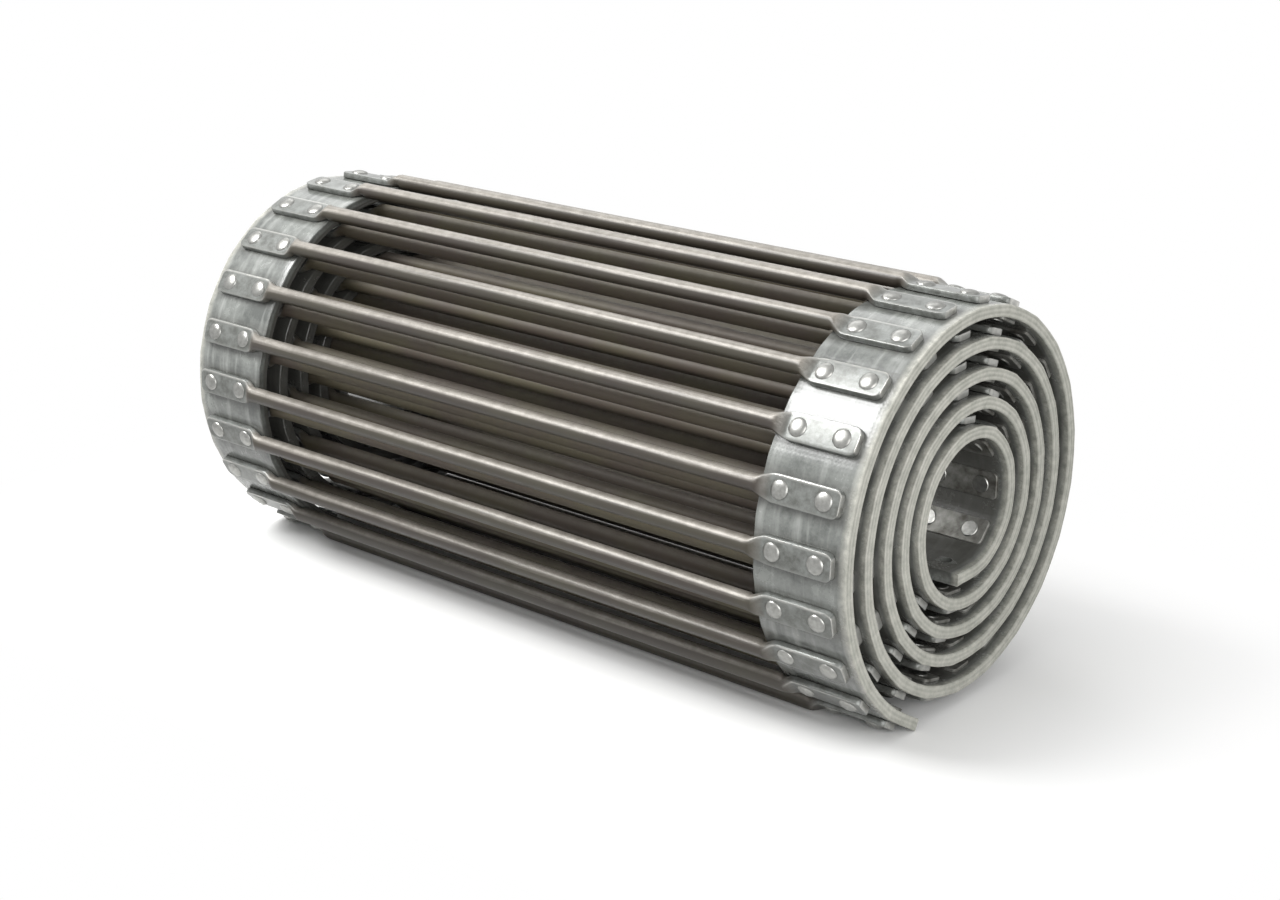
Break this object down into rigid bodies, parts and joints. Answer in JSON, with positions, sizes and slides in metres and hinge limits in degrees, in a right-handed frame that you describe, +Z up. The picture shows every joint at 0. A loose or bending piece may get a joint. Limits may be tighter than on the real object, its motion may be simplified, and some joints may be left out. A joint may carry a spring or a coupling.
{
  "type": "sieve belt",
  "caption": "Rolled sieve belt: two rubber belts joined by riveted steel rods, wound round an empty core, with a free outer end that unrolls link by link.",
  "frame": {"origin": "middle of the bounding box's bottom face, on the surface that the roll lies on", "axes": "+X along the roll's axis, +Z up, -Y to the front, where the free end lies"},
  "size_m": [0.52, 0.2502, 0.2401],
  "materials": {
    "belt_rubber": "satin grey",
    "rod_steel": "worn bright",
    "backing_steel": "dull",
    "rivet_steel": "zinc plated"
  },
  "bodies": {
    "roll": {"backing_plates": "backing_steel", "lap_1_rods": "rod_steel", "lap_2_rods": "rod_steel", "lap_3_rods": "rod_steel", "lap_4_rods": "rod_steel", "lap_5_rods": "rod_steel", "left_belt": "belt_rubber", "right_belt": "belt_rubber", "rivets": "rivet_steel"},
    "tail_link_1": {"tail_backing_plates_1": "backing_steel", "tail_left_belt_1": "belt_rubber", "tail_right_belt_1": "belt_rubber", "tail_rivets_1": "rivet_steel", "tail_rod_1": "rod_steel"},
    "tail_link_2": {"tail_backing_plates_2": "backing_steel", "tail_left_belt_2": "belt_rubber", "tail_right_belt_2": "belt_rubber", "tail_rivets_2": "rivet_steel", "tail_rod_2": "rod_steel"},
    "tail_link_3": {"tail_backing_plates_3": "backing_steel", "tail_left_belt_3": "belt_rubber", "tail_right_belt_3": "belt_rubber", "tail_rivets_3": "rivet_steel", "tail_rod_3": "rod_steel"},
    "tail_link_4": {"tail_backing_plates_4": "backing_steel", "tail_left_belt_4": "belt_rubber", "tail_right_belt_4": "belt_rubber", "tail_rivets_4": "rivet_steel", "tail_rod_4": "rod_steel"},
    "tail_link_5": {"tail_backing_plates_5": "backing_steel", "tail_left_belt_5": "belt_rubber", "tail_right_belt_5": "belt_rubber", "tail_rivets_5": "rivet_steel", "tail_rod_5": "rod_steel"},
    "tail_link_6": {"tail_backing_plates_6": "backing_steel", "tail_left_belt_6": "belt_rubber", "tail_right_belt_6": "belt_rubber", "tail_rivets_6": "rivet_steel", "tail_rod_6": "rod_steel"},
    "tail_link_7": {"tail_backing_plates_7": "backing_steel", "tail_left_belt_7": "belt_rubber", "tail_right_belt_7": "belt_rubber", "tail_rivets_7": "rivet_steel", "tail_rod_7": "rod_steel"},
    "tail_link_8": {"tail_backing_plates_8": "backing_steel", "tail_left_belt_8": "belt_rubber", "tail_right_belt_8": "belt_rubber", "tail_rivets_8": "rivet_steel", "tail_rod_8": "rod_steel"},
    "tail_link_9": {"tail_backing_plates_9": "backing_steel", "tail_left_belt_9": "belt_rubber", "tail_right_belt_9": "belt_rubber", "tail_rivets_9": "rivet_steel", "tail_rod_9": "rod_steel"},
    "tail_link_10": {"tail_backing_plates_10": "backing_steel", "tail_left_belt_10": "belt_rubber", "tail_right_belt_10": "belt_rubber", "tail_rivets_10": "rivet_steel", "tail_rod_10": "rod_steel"}
  },
  "joints": [
    {"name": "tail_hinge_1", "type": "hinge", "parent": "roll", "child": "tail_link_1", "pos_m": [0, 0.00043, 0.22967], "axis": [-1, 0, 0], "range_deg": [0, 26.14]},
    {"name": "tail_hinge_2", "type": "hinge", "parent": "tail_link_1", "child": "tail_link_2", "pos_m": [0, -0.03116, 0.22488], "axis": [-1, 0, 0], "range_deg": [0, 26.03]},
    {"name": "tail_hinge_3", "type": "hinge", "parent": "tail_link_2", "child": "tail_link_3", "pos_m": [0, -0.06019, 0.21154], "axis": [-1, 0, 0], "range_deg": [0, 25.92]},
    {"name": "tail_hinge_4", "type": "hinge", "parent": "tail_link_3", "child": "tail_link_4", "pos_m": [0, -0.08446, 0.19075], "axis": [-1, 0, 0], "range_deg": [0, 25.82]},
    {"name": "tail_hinge_5", "type": "hinge", "parent": "tail_link_4", "child": "tail_link_5", "pos_m": [0, -0.10214, 0.16413], "axis": [-1, 0, 0], "range_deg": [0, 25.71]},
    {"name": "tail_hinge_6", "type": "hinge", "parent": "tail_link_5", "child": "tail_link_6", "pos_m": [0, -0.11195, 0.13372], "axis": [-1, 0, 0], "range_deg": [0, 25.61]},
    {"name": "tail_hinge_7", "type": "hinge", "parent": "tail_link_6", "child": "tail_link_7", "pos_m": [0, -0.11322, 0.1018], "axis": [-1, 0, 0], "range_deg": [0, 25.5]},
    {"name": "tail_hinge_8", "type": "hinge", "parent": "tail_link_7", "child": "tail_link_8", "pos_m": [0, -0.10591, 0.07069], "axis": [-1, 0, 0], "range_deg": [0, 25.4]},
    {"name": "tail_hinge_9", "type": "hinge", "parent": "tail_link_8", "child": "tail_link_9", "pos_m": [0, -0.0906, 0.04264], "axis": [-1, 0, 0], "range_deg": [0, 25.31]},
    {"name": "tail_hinge_10", "type": "hinge", "parent": "tail_link_9", "child": "tail_link_10", "pos_m": [0, -0.06842, 0.01963], "axis": [-1, 0, 0], "range_deg": [0, 25.21]}
  ]
}
